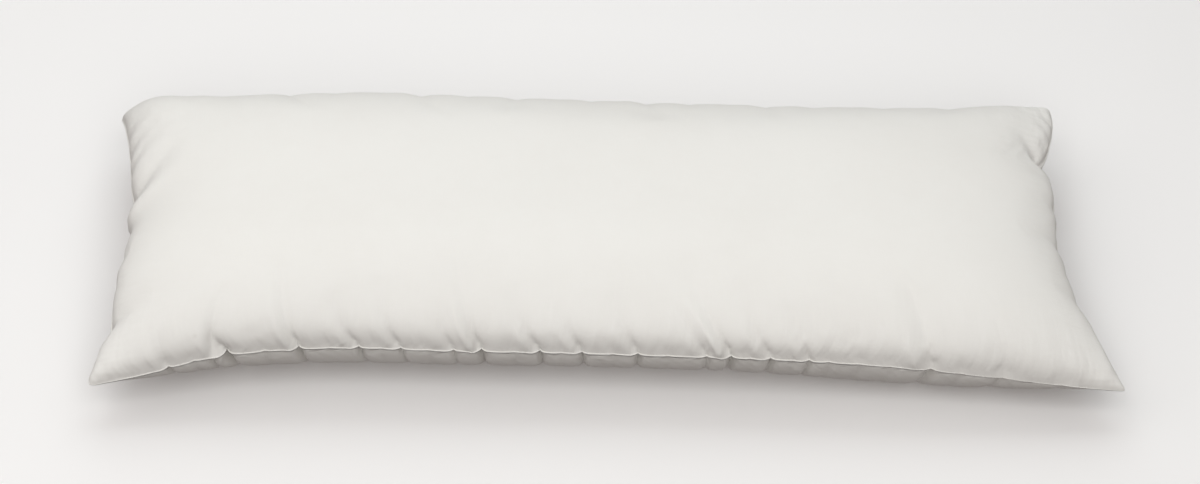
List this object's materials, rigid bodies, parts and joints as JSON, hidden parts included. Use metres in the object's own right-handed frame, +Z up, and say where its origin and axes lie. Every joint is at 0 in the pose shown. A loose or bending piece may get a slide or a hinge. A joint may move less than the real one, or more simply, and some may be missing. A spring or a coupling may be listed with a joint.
{
  "type": "throw pillow insert",
  "caption": "Long stuffed pillow insert: two plain cotton panels sewn edge to edge, crowned face, sides drawn in between four pointed corners, gathered seam.",
  "frame": {"origin": "on the surface the pillow lies on, under the middle of its box", "axes": "+X along the pillow, +Y across it away from the near side, +Z up from the back panel to the face"},
  "size_m": [0.8996, 0.3436, 0.1179],
  "materials": {
    "cotton_shell": "plain warm white cotton, matt, fine plain weave"
  },
  "bodies": {
    "root": {"pillow_insert": "cotton_shell"}
  },
  "joints": []
}
